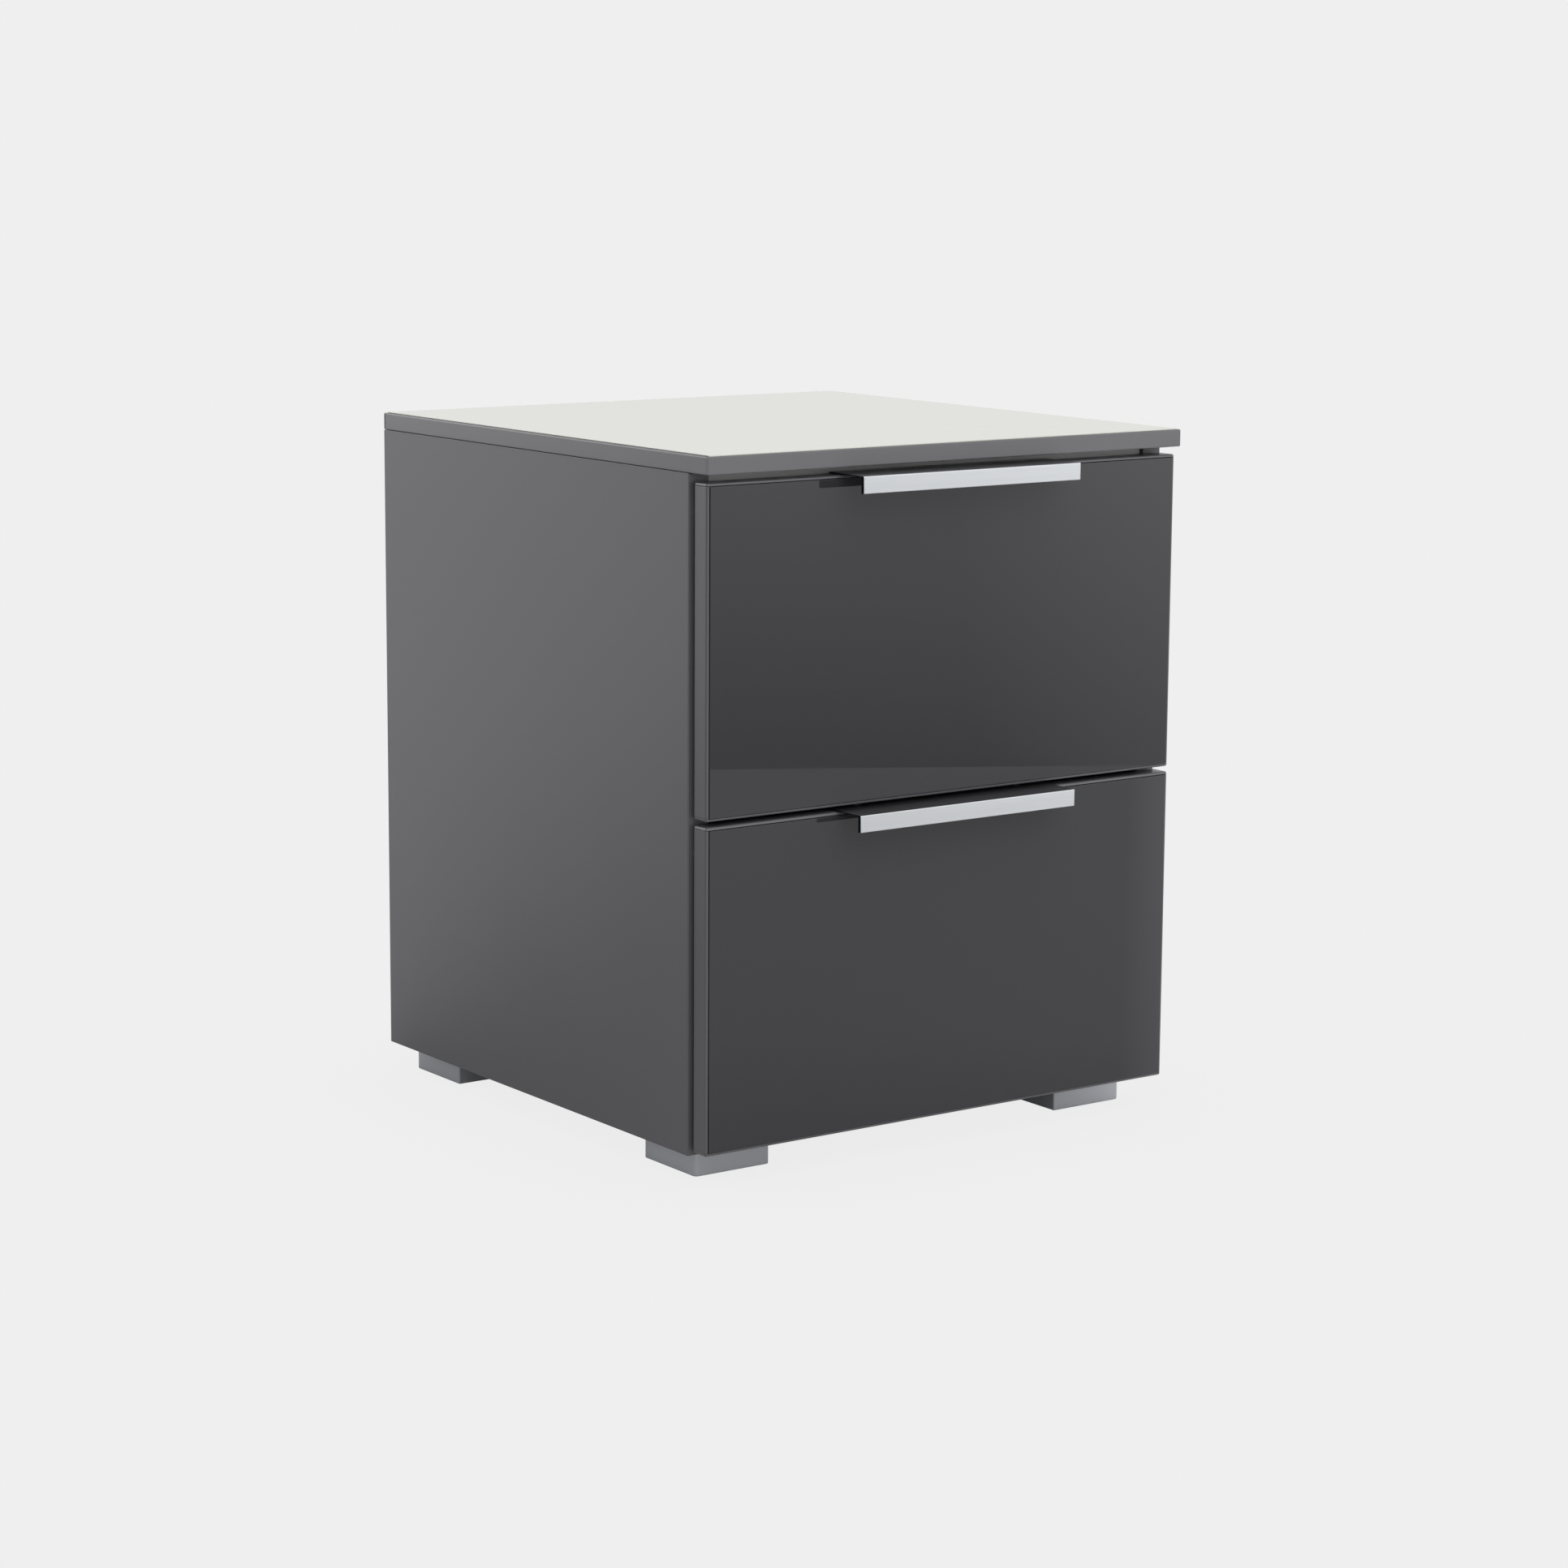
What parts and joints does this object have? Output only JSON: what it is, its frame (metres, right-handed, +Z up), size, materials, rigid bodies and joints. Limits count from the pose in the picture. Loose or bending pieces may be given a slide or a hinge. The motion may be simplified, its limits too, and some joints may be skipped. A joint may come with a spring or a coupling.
{
  "type": "nightstand with drawers",
  "caption": "Bedside cabinet with a flat top, block feet and glass-faced drawers that slide out on roller runners by bar handles.",
  "frame": {"origin": "on the floor, under the middle of the outer box, handles included", "axes": "+X to the right seen from the front, -Y out of the drawer fronts, +Z up"},
  "size_m": [0.41, 0.4444, 0.4982],
  "materials": {
    "graphite_board": "satin graphite melamine on 16 mm chipboard",
    "edging": "satin graphite plastic edging, 2 mm",
    "grey_glass": "glossy glass, dark grey lacquer behind",
    "pale_glass": "glossy glass, pale off-white lacquer behind",
    "aluminium": "anodised satin aluminium",
    "silver_plastic": "satin silver-grey lacquered plastic",
    "drawer_board": "matt grey foil on 12 mm board",
    "hardboard": "grey lacquered 3 mm hardboard",
    "white_steel": "white powder-coated sheet steel",
    "nylon": "white nylon",
    "zinc": "zinc-plated steel and die-cast zinc",
    "clear_rubber": "clear soft bumper"
  },
  "bodies": {
    "cabinet": {"top_edging": "edging", "top_board": "graphite_board", "top_glass": "pale_glass", "left_side_panel": "graphite_board", "right_side_panel": "graphite_board", "bottom_panel": "graphite_board", "back_panel": "hardboard", "front_rail": "drawer_board", "front_left_foot": "silver_plastic", "front_right_foot": "silver_plastic", "rear_left_foot": "silver_plastic", "rear_right_foot": "silver_plastic", "front_left_foot_screw": "zinc", "front_right_foot_screw": "zinc", "rear_left_foot_screw": "zinc", "rear_right_foot_screw": "zinc", "left_front_cam": "zinc", "left_rear_cam": "zinc", "right_front_cam": "zinc", "right_rear_cam": "zinc", "lower_left_cabinet_runner": "white_steel", "lower_right_cabinet_runner": "white_steel", "upper_left_cabinet_runner": "white_steel", "upper_right_cabinet_runner": "white_steel"},
    "lower_drawer": {"lower_front_board": "graphite_board", "lower_front_edging": "edging", "lower_front_glass": "grey_glass", "lower_handle": "aluminium", "lower_drawer_left_side": "drawer_board", "lower_drawer_right_side": "drawer_board", "lower_drawer_back": "drawer_board", "lower_drawer_bottom": "hardboard", "lower_left_drawer_runner": "white_steel", "lower_left_bumper": "clear_rubber", "lower_left_handle_screw": "zinc", "lower_right_drawer_runner": "white_steel", "lower_right_bumper": "clear_rubber", "lower_right_handle_screw": "zinc"},
    "lower_left_cabinet_roller": {"lower_left_cabinet_roller": "nylon"},
    "lower_left_drawer_roller": {"lower_left_drawer_roller": "nylon"},
    "lower_right_cabinet_roller": {"lower_right_cabinet_roller": "nylon"},
    "lower_right_drawer_roller": {"lower_right_drawer_roller": "nylon"},
    "upper_drawer": {"upper_front_board": "graphite_board", "upper_front_edging": "edging", "upper_front_glass": "grey_glass", "upper_handle": "aluminium", "upper_drawer_left_side": "drawer_board", "upper_drawer_right_side": "drawer_board", "upper_drawer_back": "drawer_board", "upper_drawer_bottom": "hardboard", "upper_left_drawer_runner": "white_steel", "upper_left_bumper": "clear_rubber", "upper_left_handle_screw": "zinc", "upper_right_drawer_runner": "white_steel", "upper_right_bumper": "clear_rubber", "upper_right_handle_screw": "zinc"},
    "upper_left_cabinet_roller": {"upper_left_cabinet_roller": "nylon"},
    "upper_left_drawer_roller": {"upper_left_drawer_roller": "nylon"},
    "upper_right_cabinet_roller": {"upper_right_cabinet_roller": "nylon"},
    "upper_right_drawer_roller": {"upper_right_drawer_roller": "nylon"}
  },
  "joints": [
    {"name": "lower_drawer_slide", "type": "slide", "parent": "cabinet", "child": "lower_drawer", "axis": [0, -1, 0], "range_m": [0, 0.27]},
    {"name": "lower_left_cabinet_roller_spin", "type": "hinge", "parent": "cabinet", "child": "lower_left_cabinet_roller", "pos_m": [-0.1835, -0.16375, 0.0499], "axis": [1, 0, 0], "range_deg": [0, 1720]},
    {"name": "lower_left_drawer_roller_spin", "type": "hinge", "parent": "lower_drawer", "child": "lower_left_drawer_roller", "pos_m": [-0.18185, 0.15725, 0.0499], "axis": [1, 0, 0], "range_deg": [0, 1720]},
    {"name": "lower_right_cabinet_roller_spin", "type": "hinge", "parent": "cabinet", "child": "lower_right_cabinet_roller", "pos_m": [0.1835, -0.16375, 0.0499], "axis": [1, 0, 0], "range_deg": [0, 1720]},
    {"name": "lower_right_drawer_roller_spin", "type": "hinge", "parent": "lower_drawer", "child": "lower_right_drawer_roller", "pos_m": [0.18185, 0.15725, 0.0499], "axis": [1, 0, 0], "range_deg": [0, 1720]},
    {"name": "upper_drawer_slide", "type": "slide", "parent": "cabinet", "child": "upper_drawer", "axis": [0, -1, 0], "range_m": [0, 0.27]},
    {"name": "upper_left_cabinet_roller_spin", "type": "hinge", "parent": "cabinet", "child": "upper_left_cabinet_roller", "pos_m": [-0.1835, -0.16375, 0.2801], "axis": [1, 0, 0], "range_deg": [0, 1720]},
    {"name": "upper_left_drawer_roller_spin", "type": "hinge", "parent": "upper_drawer", "child": "upper_left_drawer_roller", "pos_m": [-0.18185, 0.15725, 0.2801], "axis": [1, 0, 0], "range_deg": [0, 1720]},
    {"name": "upper_right_cabinet_roller_spin", "type": "hinge", "parent": "cabinet", "child": "upper_right_cabinet_roller", "pos_m": [0.1835, -0.16375, 0.2801], "axis": [1, 0, 0], "range_deg": [0, 1720]},
    {"name": "upper_right_drawer_roller_spin", "type": "hinge", "parent": "upper_drawer", "child": "upper_right_drawer_roller", "pos_m": [0.18185, 0.15725, 0.2801], "axis": [1, 0, 0], "range_deg": [0, 1720]}
  ],
  "couplings": [
    {"joint": "lower_left_cabinet_roller_spin", "follows": "lower_drawer_slide", "rad_per_m": 111.11},
    {"joint": "lower_left_drawer_roller_spin", "follows": "lower_drawer_slide", "rad_per_m": 111.11},
    {"joint": "lower_right_cabinet_roller_spin", "follows": "lower_drawer_slide", "rad_per_m": 111.11},
    {"joint": "lower_right_drawer_roller_spin", "follows": "lower_drawer_slide", "rad_per_m": 111.11},
    {"joint": "upper_left_cabinet_roller_spin", "follows": "upper_drawer_slide", "rad_per_m": 111.11},
    {"joint": "upper_left_drawer_roller_spin", "follows": "upper_drawer_slide", "rad_per_m": 111.11},
    {"joint": "upper_right_cabinet_roller_spin", "follows": "upper_drawer_slide", "rad_per_m": 111.11},
    {"joint": "upper_right_drawer_roller_spin", "follows": "upper_drawer_slide", "rad_per_m": 111.11}
  ]
}
